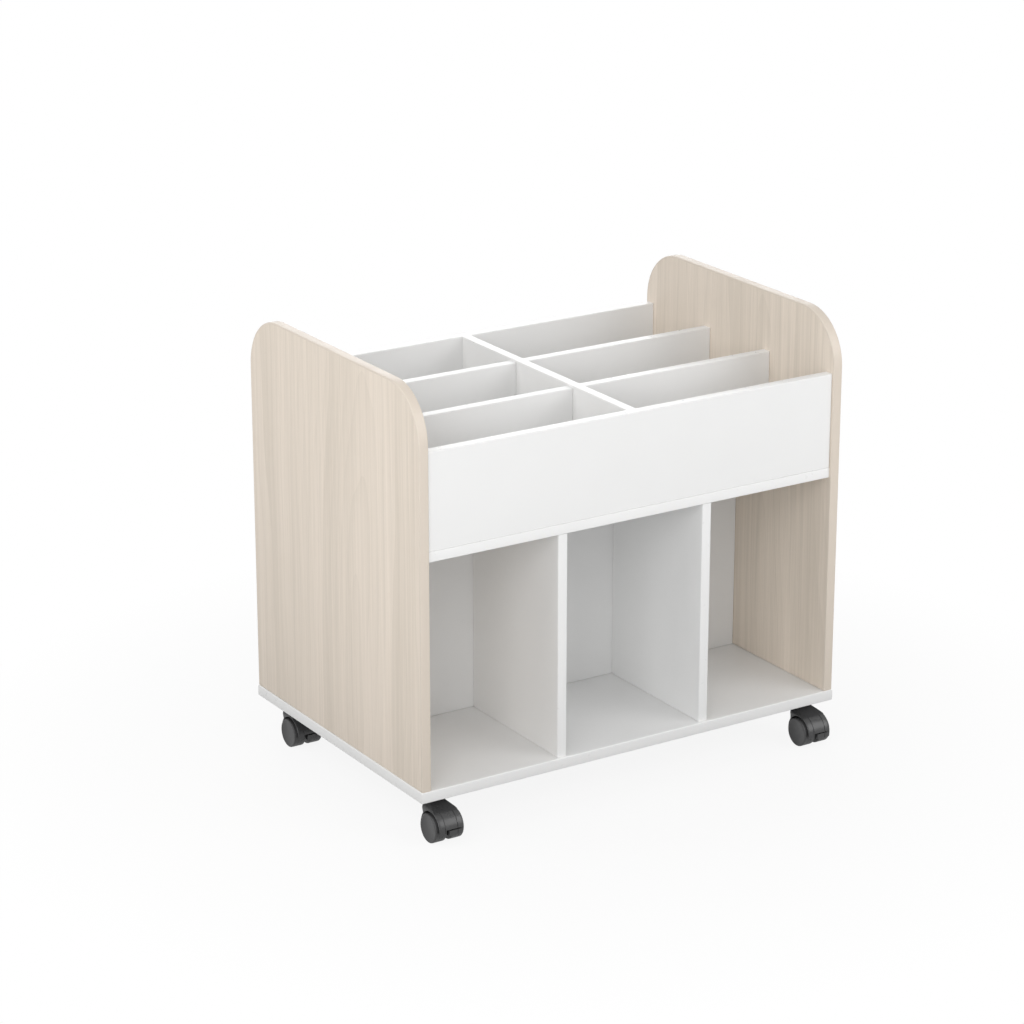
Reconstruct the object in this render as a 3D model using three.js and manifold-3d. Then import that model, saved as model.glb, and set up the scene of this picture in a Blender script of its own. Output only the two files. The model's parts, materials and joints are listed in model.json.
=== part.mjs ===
// Double-sided picture book browser bin: six open bins above, three cubbies on each long side below,
// two rounded end panels, and four hooded twin-wheel swivel casters, each with a brake pedal.
// Millimetres, +Z up, front towards -Y. The origin is on the floor, under the middle of the bounding box.
import * as THREE from "three";
import { mergeVertices } from "three/addons/utils/BufferGeometryUtils.js";
import Module from "manifold-3d";

const wasm = await Module();
wasm.setup();

// Carcass
const WIDTH = 900; // over the outer faces of the end panels
const DEPTH = 600; // of the end panels, front edge to back edge
const BOARD = 19; // thickness of every board but the base
const BASE_BOARD = 21; // thickness of the base
const CUBBY_HEIGHT = 423; // clear height of a cubby
const BIN_HEIGHT = 180; // clear depth of a bin
const ROW_DROP = 4; // row dividers below the top of the bin boards
const END_RISE = 110; // end panels above the bin boards
const CORNER_RADIUS = 100; // round top corners of the end panels
const BASE_OVERHANG = 1; // base beyond the end panels, all round
const FACE_RECESS = 5; // shelf, boards and dividers behind the end panels' edges
const MIDDLE_CUBBY = 291; // clear width of the middle cubby
const EDGE_BAND = 2; // band round the end panels' edges
const GLUE_LINE = 0.2; // between boards that are glued or screwed together
const HALVING_FIT = 0.3; // each side of a board in a halving slot
const CORNER_STEPS = 10;

// Board fixings
const DOWEL_DIAMETER = 8;
const DOWEL_LENGTH = 35;
const DOWEL_COVER = 7; // board left behind a dowel that enters a face
const DOWEL_SPREAD = 400; // between the two shelf dowels of one end
const SCREW_LENGTH = 50; // connecting screw up through the base
const SCREW_DIAMETER = 7;
const SCREW_HEAD = 10; // diameter of the countersunk head
const SCREW_TIP = 4;
const SCREW_SPREAD = 400; // between the two screws of one end
const FIXING_FIT = 0.3; // round a dowel or a screw in its bore
const FIXING_STEPS = 10;

// Casters
const WHEEL_RADIUS = 27;
const CASTER_WIDTH = 58.5; // over the two wheel faces
const WHEEL_EDGE = 2; // rounded outer edge of the tread
const WHEEL_FACE = 4; // closed outer face over the end of the axle
const WEB = 6; // plate of the hood between the wheels
const WEB_DROP = 10; // web below the axle
const WEB_CLEARANCE = 3.25; // between the web and a wheel, with room for the pedal's arm
const WEB_SET_BACK = 3; // web behind the inside of the hood, below the hood's front edge
const WHEEL_CLEARANCE = 4; // between the tread and the hood
const HOOD_WALL = 2;
const HOOD_SET_BACK = 4.75; // rim of the hood behind the wheel faces
const HOOD_FRONT_RISE = 4; // front edge of the hood above the axle
const SKIRT_WIDTH = 14; // left part of the hood, which reaches further down in front
const SKIRT_DIP = 3.5; // front edge of that part below the axle
const SADDLE_TOP = 16; // width of the hood's ramp where it meets the boss
const SADDLE_SLOPE = 21; // degrees
const SADDLE_BACK = 40; // degrees above straight back, where the underside of the ramp leaves the shell
const CASTER_NECK = 20; // top of the hood to the underside of the base
const CASTER_INSET = 45; // stem from the outer faces of the end panels
const STEM_TO_TREAD = 10; // stem axis to the back of the tread
const AXLE_DIAMETER = 6;
const STEM_DIAMETER = 10;
const STEM_DEPTH = 36; // stem inside the boss of the hood
const STEM_COLLAR = 22; // diameter of the collar that carries the load
const COLLAR_THICKNESS = 3;
const BOSS_WALL = 7.7; // of the hood round the stem
const BOSS_FLOOR = 14; // of the hood below the stem
const INSERT_WALL = 3; // of the threaded insert in the base
const INSERT_FLANGE = 24; // diameter of the insert's flange
const FLANGE_THICKNESS = 1.5;
const INSERT_COVER = 5; // base left above the insert
const PEDAL_SLOT = 2.6; // between the hood's front edge and the pedal
const PEDAL_DIP = 8.5; // toe of the pedal below the axle
const PEDAL_PAST_MIDDLE = 4.5; // left end of the pedal beyond the middle of the hood
const PEDAL_GAP = 0.5; // each side of the pedal's arm
const PEDAL_HUB = 4; // radius of the arm round its pivot
const PEDAL_MARGIN = 3; // degrees of pedal above and below its arm
const PIVOT_REACH = 18; // pivot of the pedal ahead of the axle
const PIVOT_RISE = 6; // pivot of the pedal above the axle
const PEDAL_PIN = 2.6; // diameter of the pivot pin
const PEDAL_PIN_LENGTH = 2.4; // in the web
const RUNNING_FIT = 0.3; // between parts that turn on each other
const WHEEL_STEPS = 24;
const ROUND_STEPS = 12;
const ARC_STEP = 10; // degrees

// Worked out from the above
const HOOD_INNER = WHEEL_RADIUS + WHEEL_CLEARANCE;
const HOOD_OUTER = HOOD_INNER + HOOD_WALL;
const HOOD_HALF = CASTER_WIDTH / 2 - HOOD_SET_BACK;
const WHEEL_INNER_FACE = WEB / 2 + WEB_CLEARANCE;
const WHEEL_WIDTH = CASTER_WIDTH / 2 - WHEEL_INNER_FACE;
const TRAIL = WHEEL_RADIUS + STEM_TO_TREAD;
const BASE_UNDERSIDE = WHEEL_RADIUS + HOOD_OUTER + CASTER_NECK;
const BASE_TOP = BASE_UNDERSIDE + BASE_BOARD;
const SHELF_UNDERSIDE = BASE_TOP + CUBBY_HEIGHT;
const SHELF_TOP = SHELF_UNDERSIDE + BOARD;
const BIN_TOP = SHELF_TOP + BIN_HEIGHT;
const END_TOP = BIN_TOP + END_RISE;
const INNER_HALF = WIDTH / 2 - BOARD; // inner faces of the end panels
const FACE_HALF = DEPTH / 2 - FACE_RECESS; // outer faces of the front and back boards
const BIN_HALF = FACE_HALF - BOARD; // inner faces of the front and back boards
const ROW_PITCH = (2 * BIN_HALF + BOARD) / 3;
const STEM_X = WIDTH / 2 - CASTER_INSET;
const STEM_Y = DEPTH / 2 - CASTER_INSET;
const BASE_HALF_DEPTH = DEPTH / 2 + BASE_OVERHANG;
const FRONT_REACH = Math.max(BASE_HALF_DEPTH, STEM_Y + TRAIL + HOOD_OUTER);
const CABINET_Y = (FRONT_REACH - BASE_HALF_DEPTH) / 2; // puts the bounding box on the origin

const FINISHES = {
  wood: { color: 0xd9c9b2, roughness: 0.5, metalness: 0 },
  band: { color: 0xe6dccb, roughness: 0.45, metalness: 0 },
  white: { color: 0xf1f1f0, roughness: 0.4, metalness: 0 },
  dowel: { color: 0xc9a877, roughness: 0.7, metalness: 0 },
  steel: { color: 0xb9bcc0, roughness: 0.35, metalness: 1 },
  nylon: { color: 0x3b3b3c, roughness: 0.5, metalness: 0 },
  tread: { color: 0x454546, roughness: 0.55, metalness: 0 },
};

const X_AXIS = new THREE.Vector3(1, 0, 0);
const Y_AXIS = new THREE.Vector3(0, 1, 0);
const Z_AXIS = new THREE.Vector3(0, 0, 1);
// An outline drawn in (y, z) is extruded along x.
const SIDE_VIEW = new THREE.Matrix4().makeBasis(Y_AXIS, Z_AXIS, X_AXIS);
// An outline drawn in (x, z) is extruded towards the front.
const FRONT_VIEW = new THREE.Matrix4().makeBasis(X_AXIS, Z_AXIS, Y_AXIS.clone().negate());

// A closed geometry as a solid that can be joined and cut.
function toSolid(geometry) {
  const bare = geometry.clone();
  bare.deleteAttribute("normal");
  bare.deleteAttribute("uv");
  const merged = mergeVertices(bare, 1e-4);
  const index = merged.index.array;
  const triVerts = [];
  for (let i = 0; i < index.length; i += 3) {
    const [a, b, c] = index.subarray(i, i + 3);
    if (a !== b && b !== c && c !== a) triVerts.push(a, b, c);
  }
  return new wasm.Manifold(
    new wasm.Mesh({
      numProp: 3,
      vertProperties: merged.attributes.position.array,
      triVerts: new Uint32Array(triVerts),
    }),
  );
}

function toGeometry(solid) {
  const mesh = solid.getMesh();
  const geometry = new THREE.BufferGeometry();
  geometry.setAttribute("position", new THREE.BufferAttribute(mesh.vertProperties, 3));
  geometry.setIndex(new THREE.BufferAttribute(mesh.triVerts, 1));
  geometry.computeVertexNormals();
  return geometry;
}

const join = (...geometries) =>
  toGeometry(geometries.map(toSolid).reduce((whole, next) => whole.add(next)));

const cut = (geometry, tools) =>
  toGeometry(tools.map(toSolid).reduce((whole, tool) => whole.subtract(tool), toSolid(geometry)));

const meet = (first, second) => toGeometry(toSolid(first).intersect(toSolid(second)));

// A box between two corners.
function block(low, high) {
  const size = high.map((value, i) => value - low[i]);
  const middle = high.map((value, i) => (value + low[i]) / 2);
  return new THREE.BoxGeometry(...size).translate(...middle);
}

// A round rod along an axis, from one distance along it to another, through a point off it.
function rod(radius, axis, from, to, through = [0, 0, 0], steps = ROUND_STEPS) {
  const turn = new THREE.Quaternion().setFromUnitVectors(Y_AXIS, axis);
  return new THREE.CylinderGeometry(radius, radius, to - from, steps)
    .translate(0, (from + to) / 2, 0)
    .applyQuaternion(turn)
    .translate(...through);
}

// A profile of [radius, height] points turned about an axis.
function turned(profile, axis, steps, start = 0) {
  const points = profile.map(([radius, height]) => new THREE.Vector2(radius, height));
  const turn = new THREE.Quaternion().setFromUnitVectors(Y_AXIS, axis);
  return new THREE.LatheGeometry(points, steps, start).applyQuaternion(turn);
}

// An outline in (y, z), from one x to another.
function sideCut(shape, fromX, toX, curveSegments) {
  return new THREE.ExtrudeGeometry(shape, { depth: toX - fromX, bevelEnabled: false, curveSegments })
    .translate(0, 0, fromX)
    .applyMatrix4(SIDE_VIEW);
}

// An outline in (x, z), from one y to another.
function frontCut(shape, fromY, toY) {
  return new THREE.ExtrudeGeometry(shape, { depth: toY - fromY, bevelEnabled: false })
    .translate(0, 0, -toY)
    .applyMatrix4(FRONT_VIEW);
}

const root = new THREE.Group();
const cabinet = new THREE.Group();
cabinet.position.y = CABINET_Y;
root.add(cabinet);

function addMesh(group, name, finish, geometry) {
  const mesh = new THREE.Mesh(geometry, new THREE.MeshStandardMaterial(FINISHES[finish]));
  mesh.name = name;
  group.add(mesh);
}

// Boards wait here with their bores and slots until all of these are known.
const boards = new Map();
const addBoard = (name, finish, geometry) => boards.set(name, { finish, geometry, cuts: [] });
const cutBoard = (name, tool) => boards.get(name).cuts.push(tool);

function addEndPanels() {
  const foot = BASE_TOP + GLUE_LINE;
  const trace = (path, inset, start) => {
    const half = DEPTH / 2 - inset;
    const centre = DEPTH / 2 - CORNER_RADIUS;
    const top = END_TOP - CORNER_RADIUS;
    const radius = CORNER_RADIUS - inset;
    if (start < 0) {
      path.lineTo(-half, foot);
      path.absarc(-centre, top, radius, Math.PI, Math.PI / 2, true);
      path.absarc(centre, top, radius, Math.PI / 2, 0, true);
      path.lineTo(half, foot);
    } else {
      path.lineTo(half, foot);
      path.absarc(centre, top, radius, 0, Math.PI / 2, false);
      path.absarc(-centre, top, radius, Math.PI / 2, Math.PI, false);
      path.lineTo(-half, foot);
    }
  };
  const core = new THREE.Shape();
  core.moveTo(-DEPTH / 2 + EDGE_BAND + GLUE_LINE, foot);
  trace(core, EDGE_BAND + GLUE_LINE, -1);
  const band = new THREE.Shape();
  band.moveTo(-DEPTH / 2, foot);
  trace(band, 0, -1);
  trace(band, EDGE_BAND, 1);
  for (const [side, fromX] of [["left", -WIDTH / 2], ["right", INNER_HALF]]) {
    addBoard(`${side}_end_panel`, "wood", sideCut(core, fromX, fromX + BOARD, CORNER_STEPS));
    addBoard(`${side}_end_edge_band`, "band", sideCut(band, fromX, fromX + BOARD, CORNER_STEPS));
  }
}

function addCarcass() {
  const across = INNER_HALF - GLUE_LINE;
  const baseHalfWidth = WIDTH / 2 + BASE_OVERHANG;
  addBoard("base_panel", "white", block(
    [-baseHalfWidth, -BASE_HALF_DEPTH, BASE_UNDERSIDE],
    [baseHalfWidth, BASE_HALF_DEPTH, BASE_TOP],
  ));
  addBoard("middle_shelf", "white", block(
    [-across, -FACE_HALF, SHELF_UNDERSIDE],
    [across, FACE_HALF, SHELF_TOP],
  ));
  const onShelf = SHELF_TOP + GLUE_LINE;
  for (const [name, fromY] of [["front_board", -FACE_HALF], ["back_board", BIN_HALF]])
    addBoard(name, "white", block([-across, fromY, onShelf], [across, fromY + BOARD, BIN_TOP]));
}

// Two row dividers and one cross divider, halved into each other where they cross.
function addBinDividers() {
  const across = INNER_HALF - GLUE_LINE;
  const along = BIN_HALF - GLUE_LINE;
  const onShelf = SHELF_TOP + GLUE_LINE;
  const halving = (onShelf + BIN_TOP) / 2;
  const slotHalf = BOARD / 2 + HALVING_FIT;
  addBoard("cross_divider", "white", block(
    [-BOARD / 2, -along, onShelf],
    [BOARD / 2, along, BIN_TOP],
  ));
  for (const [name, y] of [["front_row_divider", -ROW_PITCH / 2], ["back_row_divider", ROW_PITCH / 2]]) {
    addBoard(name, "white", block(
      [-across, y - BOARD / 2, onShelf],
      [across, y + BOARD / 2, BIN_TOP - ROW_DROP],
    ));
    cutBoard(name, block([-slotHalf, y - BOARD, halving - HALVING_FIT / 2], [slotHalf, y + BOARD, END_TOP]));
    cutBoard("cross_divider", block(
      [-BOARD, y - slotHalf, SHELF_UNDERSIDE],
      [BOARD, y + slotHalf, halving + HALVING_FIT / 2],
    ));
  }
}

// A spine at mid depth, and two dividers on each side of it.
function addCubbyDividers() {
  const across = INNER_HALF - GLUE_LINE;
  const low = BASE_TOP + GLUE_LINE;
  const high = SHELF_UNDERSIDE - GLUE_LINE;
  addBoard("spine_panel", "white", block([-across, -BOARD / 2, low], [across, BOARD / 2, high]));
  for (const [face, fromY, toY] of [
    ["front", -FACE_HALF, -BOARD / 2 - GLUE_LINE],
    ["back", BOARD / 2 + GLUE_LINE, FACE_HALF],
  ])
    for (const [side, fromX] of [["left", -MIDDLE_CUBBY / 2 - BOARD], ["right", MIDDLE_CUBBY / 2]])
      addBoard(`${face}_${side}_divider`, "white", block([fromX, fromY, low], [fromX + BOARD, toY, high]));
}

// A dowel into the face of one board and the end of another, which starts at a point on that face.
function addDowel(name, faceBoard, endBoard, point, axis) {
  const inFace = BOARD - DOWEL_COVER;
  const inEnd = DOWEL_LENGTH - inFace;
  const pin = (fit) => rod(DOWEL_DIAMETER / 2 + fit, axis, -inFace - fit, inEnd + fit, point, FIXING_STEPS);
  cutBoard(faceBoard, pin(FIXING_FIT));
  cutBoard(endBoard, pin(FIXING_FIT));
  addMesh(cabinet, name, "dowel", pin(0));
}

function addDowels() {
  const shelfMiddle = SHELF_UNDERSIDE + BOARD / 2;
  const binMiddle = SHELF_TOP + BIN_HEIGHT / 2;
  const cubbyMiddle = BASE_TOP + CUBBY_HEIGHT / 2;
  const boardMiddle = FACE_HALF - BOARD / 2;
  for (const [side, sign] of [["left", -1], ["right", 1]]) {
    const inwards = X_AXIS.clone().multiplyScalar(-sign);
    const end = `${side}_end_panel`;
    const x = sign * INNER_HALF;
    for (const [face, y] of [["front", -DOWEL_SPREAD / 2], ["back", DOWEL_SPREAD / 2]])
      addDowel(`${face}_${side}_shelf_dowel`, end, "middle_shelf", [x, y, shelfMiddle], inwards);
    addDowel(`${side}_front_board_dowel`, end, "front_board", [x, -boardMiddle, binMiddle], inwards);
    addDowel(`${side}_back_board_dowel`, end, "back_board", [x, boardMiddle, binMiddle], inwards);
    addDowel(`${side}_spine_dowel`, end, "spine_panel", [x, 0, cubbyMiddle], inwards);
  }
  addDowel("front_cross_dowel", "front_board", "cross_divider", [0, -BIN_HALF, binMiddle], Y_AXIS);
  const forwards = Y_AXIS.clone().negate();
  addDowel("back_cross_dowel", "back_board", "cross_divider", [0, BIN_HALF, binMiddle], forwards);
}

// The profile of a connecting screw, or of its bore when it is grown by a fit.
function screwProfile(fit) {
  const head = SCREW_HEAD / 2 + fit;
  const shank = SCREW_DIAMETER / 2 + fit;
  const taper = SCREW_HEAD / 2 - SCREW_DIAMETER / 2;
  return [
    [0, -fit],
    [head, -fit],
    [shank, taper],
    [shank, SCREW_LENGTH - SCREW_TIP + fit],
    [0, SCREW_LENGTH + fit],
  ];
}

function addBaseScrews() {
  const place = (fit, x, y) =>
    turned(screwProfile(fit), Z_AXIS, FIXING_STEPS).translate(x, y, BASE_UNDERSIDE);
  for (const [side, x] of [["left", -WIDTH / 2 + BOARD / 2], ["right", WIDTH / 2 - BOARD / 2]])
    for (const [face, y] of [["front", -SCREW_SPREAD / 2], ["back", SCREW_SPREAD / 2]]) {
      const bore = place(FIXING_FIT, x, y);
      cutBoard("base_panel", bore);
      cutBoard(`${side}_end_panel`, bore);
      addMesh(cabinet, `${face}_${side}_base_screw`, "steel", place(0, x, y));
    }
}

const degrees = THREE.MathUtils.degToRad;

// A ring sector about the axle in (y, z), angles in degrees from straight back over the top to the front.
function ringSector(inner, outer, from, to) {
  const shape = new THREE.Shape();
  shape.absarc(0, 0, outer, degrees(from), degrees(to), false);
  shape.absarc(0, 0, inner, degrees(to), degrees(from), true);
  return shape;
}

const arcSteps = (from, to) => Math.ceil((to - from) / ARC_STEP);

function sector(inner, outer, from, to, fromX, toX) {
  return sideCut(ringSector(inner, outer, from, to), fromX, toX, arcSteps(from, to));
}

// The angle of a front edge of the hood or the pedal, from its height above the axle.
const frontAngle = (rise) => 180 - THREE.MathUtils.radToDeg(Math.asin(rise / HOOD_OUTER));

const HOOD_FRONT = frontAngle(HOOD_FRONT_RISE);
const SKIRT_FRONT = frontAngle(-SKIRT_DIP);
const PEDAL_FROM = frontAngle(HOOD_FRONT_RISE - PEDAL_SLOT);
const PEDAL_TO = frontAngle(-PEDAL_DIP);
const MID_WALL = HOOD_INNER + HOOD_WALL / 2;
const BOSS_TOP = BASE_UNDERSIDE - FLANGE_THICKNESS - COLLAR_THICKNESS - 2 * RUNNING_FIT - WHEEL_RADIUS;
const pivot = [0, -PIVOT_REACH, PIVOT_RISE];

// A plate between the wheels, set back where the pedal hangs in front of it.
function webGeometry() {
  const set = HOOD_INNER - WEB_SET_BACK;
  const outline = new THREE.Shape();
  outline.absarc(0, 0, MID_WALL, -Math.asin(WEB_DROP / MID_WALL), degrees(HOOD_FRONT), false);
  outline.absarc(0, 0, set, degrees(HOOD_FRONT), Math.PI + Math.asin(WEB_DROP / set), false);
  return sideCut(outline, -WEB / 2, WEB / 2, arcSteps(0, 180));
}

// A ramp that leaves the round of the hood and climbs to the top of the boss, with shoulders that
// slope down to the hood's rims.
function saddleGeometry() {
  const slope = degrees(SADDLE_SLOPE);
  const back = degrees(SADDLE_BACK);
  const foot = [-HOOD_OUTER * Math.sin(slope), HOOD_OUTER * Math.cos(slope)];
  const peak = Math.min(TRAIL, foot[0] + (BOSS_TOP - foot[1]) / Math.tan(slope));
  const height = foot[1] + (peak - foot[0]) * Math.tan(slope);
  const profile = new THREE.Shape();
  profile.moveTo(0, 0);
  profile.lineTo(MID_WALL * Math.cos(back), MID_WALL * Math.sin(back));
  profile.lineTo(peak, height);
  profile.lineTo(...foot);
  const section = new THREE.Shape();
  section.moveTo(-HOOD_HALF, 0);
  section.lineTo(HOOD_HALF, 0);
  section.lineTo(HOOD_HALF, HOOD_OUTER);
  section.lineTo(SADDLE_TOP / 2, BOSS_TOP);
  section.lineTo(-SADDLE_TOP / 2, BOSS_TOP);
  section.lineTo(-HOOD_HALF, HOOD_OUTER);
  return meet(sideCut(profile, -CASTER_WIDTH, CASTER_WIDTH, 1), frontCut(section, -HOOD_OUTER, TRAIL));
}

// Hood: a shell over both wheels, a web between them with the axle bore, and a boss round the stem.
// Its own frame has the axle as the x axis; the stem stands TRAIL behind it.
function hoodGeometry() {
  const stemFoot = BOSS_TOP - STEM_DEPTH;
  const stem = [0, TRAIL, 0];
  const bossRadius = STEM_DIAMETER / 2 + RUNNING_FIT + BOSS_WALL;
  const boss = rod(bossRadius, Z_AXIS, stemFoot - BOSS_FLOOR, BOSS_TOP, stem);
  const well = rod(MID_WALL, X_AXIS, -CASTER_WIDTH, CASTER_WIDTH, [0, 0, 0], 360 / ARC_STEP);
  const shell = sector(HOOD_INNER, HOOD_OUTER, 0, SKIRT_FRONT, -HOOD_HALF, HOOD_HALF);
  const notch = sector(
    HOOD_INNER - HOOD_WALL,
    HOOD_OUTER + HOOD_WALL,
    HOOD_FRONT,
    SKIRT_FRONT + ARC_STEP,
    SKIRT_WIDTH - HOOD_HALF,
    CASTER_WIDTH,
  );
  const pinFoot = WEB / 2 - PEDAL_PIN_LENGTH - RUNNING_FIT;
  const pinBore = rod(PEDAL_PIN / 2 + RUNNING_FIT, X_AXIS, pinFoot, WEB, pivot);
  const axleBore = rod(AXLE_DIAMETER / 2 + RUNNING_FIT, X_AXIS, -WEB, WEB);
  const stemBore = rod(STEM_DIAMETER / 2 + RUNNING_FIT, Z_AXIS, stemFoot - RUNNING_FIT, BASE_UNDERSIDE, stem);
  const crown = cut(join(boss, saddleGeometry()), [well]);
  const whole = join(cut(shell, [notch]), crown, webGeometry());
  return cut(whole, [pinBore, axleBore, stemBore]);
}

// Brake pedal: a plate in front of the right wheel, on an arm beside the web with a pin in the web.
function pedalGeometry() {
  const skin = sector(HOOD_INNER, HOOD_OUTER, PEDAL_FROM, PEDAL_TO, -PEDAL_PAST_MIDDLE, HOOD_HALF);
  const armFrom = WEB / 2 + PEDAL_GAP;
  const armTo = WHEEL_INNER_FACE - PEDAL_GAP;
  const outline = new THREE.Shape();
  outline.moveTo(pivot[1], pivot[2] + PEDAL_HUB);
  for (const angle of [PEDAL_FROM + PEDAL_MARGIN, PEDAL_TO - PEDAL_MARGIN])
    outline.lineTo(MID_WALL * Math.cos(degrees(angle)), MID_WALL * Math.sin(degrees(angle)));
  outline.lineTo(pivot[1], pivot[2] - PEDAL_HUB);
  const arm = sideCut(outline, armFrom, armTo, 1);
  const hub = rod(PEDAL_HUB, X_AXIS, armFrom, armTo, pivot);
  const pin = rod(PEDAL_PIN / 2, X_AXIS, WEB / 2 - PEDAL_PIN_LENGTH, armTo, pivot);
  return join(skin, arm, hub, pin);
}

// Wheel: inner face at height 0, closed outer face, and a blind bore for the axle.
// A flat of the tread faces down.
function wheelGeometry(axis) {
  const tread = WHEEL_RADIUS / Math.cos(Math.PI / WHEEL_STEPS);
  const bore = AXLE_DIAMETER / 2 + RUNNING_FIT;
  const boreEnd = WHEEL_WIDTH - WHEEL_FACE;
  const inner = WHEEL_EDGE / 2;
  const profile = [
    [0, boreEnd],
    [bore, boreEnd],
    [bore, 0],
    [tread - inner, 0],
    [tread, inner],
    [tread, WHEEL_WIDTH - WHEEL_EDGE],
  ];
  for (const angle of [45, 90]) {
    const reach = WHEEL_EDGE * Math.cos(degrees(angle));
    const rise = WHEEL_EDGE * Math.sin(degrees(angle));
    profile.push([tread - WHEEL_EDGE + reach, WHEEL_WIDTH - WHEEL_EDGE + rise]);
  }
  profile.push([0, WHEEL_WIDTH]);
  return turned(profile, axis, WHEEL_STEPS, Math.PI / WHEEL_STEPS);
}

const COLLAR_TOP = BASE_UNDERSIDE - FLANGE_THICKNESS - RUNNING_FIT;
const INSERT_TOP = BASE_TOP - INSERT_COVER;
const INSERT_BORE = STEM_DIAMETER / 2 + RUNNING_FIT;
const INSERT_RADIUS = INSERT_BORE + INSERT_WALL;

// Stem: carried by the insert, with the collar that the boss turns under.
function stemGeometry() {
  const collarFoot = COLLAR_TOP - COLLAR_THICKNESS;
  const foot = collarFoot - RUNNING_FIT - STEM_DEPTH;
  const radius = STEM_DIAMETER / 2;
  return join(
    rod(radius, Z_AXIS, foot, INSERT_TOP - RUNNING_FIT),
    rod(STEM_COLLAR / 2, Z_AXIS, collarFoot, COLLAR_TOP),
  );
}

function insertGeometry() {
  const flangeFoot = BASE_UNDERSIDE - FLANGE_THICKNESS;
  const whole = join(
    rod(INSERT_RADIUS, Z_AXIS, flangeFoot, INSERT_TOP),
    rod(INSERT_FLANGE / 2, Z_AXIS, flangeFoot, BASE_UNDERSIDE - GLUE_LINE),
  );
  return cut(whole, [rod(INSERT_BORE, Z_AXIS, flangeFoot - FLANGE_THICKNESS, BASE_TOP)]);
}

function addCaster(name, x, y) {
  const caster = new THREE.Group();
  caster.position.set(x, y, 0);
  const wheels = new THREE.Group();
  wheels.position.set(0, -TRAIL, WHEEL_RADIUS);
  caster.add(wheels);
  cabinet.add(caster);
  const axleHalf = CASTER_WIDTH / 2 - WHEEL_FACE - RUNNING_FIT;
  addMesh(caster, `${name}_caster_insert`, "steel", insertGeometry());
  addMesh(caster, `${name}_caster_stem`, "steel", stemGeometry());
  addMesh(wheels, `${name}_caster_hood`, "nylon", hoodGeometry());
  addMesh(wheels, `${name}_caster_axle`, "steel", rod(AXLE_DIAMETER / 2, X_AXIS, -axleHalf, axleHalf));
  addMesh(wheels, `${name}_caster_brake_pedal`, "nylon", pedalGeometry());
  for (const [side, sign] of [["left", -1], ["right", 1]]) {
    const axis = X_AXIS.clone().multiplyScalar(sign);
    const wheel = wheelGeometry(axis).translate(sign * WHEEL_INNER_FACE, 0, 0);
    addMesh(wheels, `${name}_caster_${side}_wheel`, "tread", wheel);
  }
  cutBoard("base_panel", rod(INSERT_RADIUS + FIXING_FIT, Z_AXIS, 0, INSERT_TOP + FIXING_FIT, [x, y, 0]));
}

addEndPanels();
addCarcass();
addBinDividers();
addCubbyDividers();
addDowels();
addBaseScrews();
for (const [face, y] of [["front", -STEM_Y], ["back", STEM_Y]])
  for (const [side, x] of [["left", -STEM_X], ["right", STEM_X]]) addCaster(`${face}_${side}`, x, y);
for (const [name, { finish, geometry, cuts }] of boards) addMesh(cabinet, name, finish, cut(geometry, cuts));

export default root;
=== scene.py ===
import json
import math

import bmesh
import bpy
from bpy.props import FloatProperty, FloatVectorProperty, IntProperty, PointerProperty
from mathutils import Euler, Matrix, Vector


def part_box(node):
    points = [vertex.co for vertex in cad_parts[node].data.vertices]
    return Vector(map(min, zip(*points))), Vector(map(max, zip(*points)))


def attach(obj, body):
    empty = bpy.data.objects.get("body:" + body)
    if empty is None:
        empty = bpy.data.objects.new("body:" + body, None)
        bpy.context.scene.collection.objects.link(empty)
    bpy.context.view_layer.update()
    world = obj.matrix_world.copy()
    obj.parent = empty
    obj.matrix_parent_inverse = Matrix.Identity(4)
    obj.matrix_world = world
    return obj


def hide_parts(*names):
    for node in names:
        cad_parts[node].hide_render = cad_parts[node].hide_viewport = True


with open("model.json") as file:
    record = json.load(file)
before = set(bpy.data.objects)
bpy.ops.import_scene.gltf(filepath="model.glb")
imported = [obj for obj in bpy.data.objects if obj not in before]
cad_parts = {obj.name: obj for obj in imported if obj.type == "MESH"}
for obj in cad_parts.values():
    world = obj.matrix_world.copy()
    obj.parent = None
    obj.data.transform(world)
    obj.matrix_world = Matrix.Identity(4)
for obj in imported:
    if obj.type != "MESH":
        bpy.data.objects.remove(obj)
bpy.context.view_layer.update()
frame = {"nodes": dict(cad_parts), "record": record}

bl_info = {
    "name": "Picture book browser bin",
    "version": (1, 0, 0),
    "blender": (4, 5, 0),
    "location": "3D View > Sidebar > Browser bin",
    "description": "Dresses a mobile double-sided book bin on four braked casters",
    "category": "Object",
}

ENDS = ("left", "right")
CORNERS = ("front_left", "front_right", "back_left", "back_right")
WHITE_PLATES = {
    "base_panel": "Z",
    "middle_shelf": "Z",
    "front_board": "Y",
    "back_board": "Y",
    "spine_panel": "Y",
    "front_left_divider": "X",
    "front_right_divider": "X",
    "back_left_divider": "X",
    "back_right_divider": "X",
}
ROW_DIVIDERS = ("front_row_divider", "back_row_divider")
CASTER_PARTS = ("hood", "brake_pedal", "left_wheel", "right_wheel", "stem", "insert", "axle")
PLANES = {"X": (1, 2, 0), "Y": (0, 2, 1), "Z": (0, 1, 2)}

# Finishes in a piece's material slots: a board's faces come first, its edge band last
WOOD_SLOTS = ("Wood laminate", "Wood edge band")
WHITE_SLOTS = ("White melamine", "White edge band")
HOOD_SLOTS = ("Hood nylon",)
FACE_SLOT = 0

# Facets
SWEEP_STEP = math.radians(3)
ROUND_STEPS = 6
SCREW_SIDES = 40
SOCKET_SIDES = 6
SMOOTH_BELOW = math.radians(35)
SMOOTH_JOINED = math.radians(30)

# How far the cut of the pedal's notch runs past the hood's front
NOTCH_RUN = math.radians(22.5)

# Fine lines of a wheel's tread, as shares of its width
TREAD_LINES = (0.36, 0.62)

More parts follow.
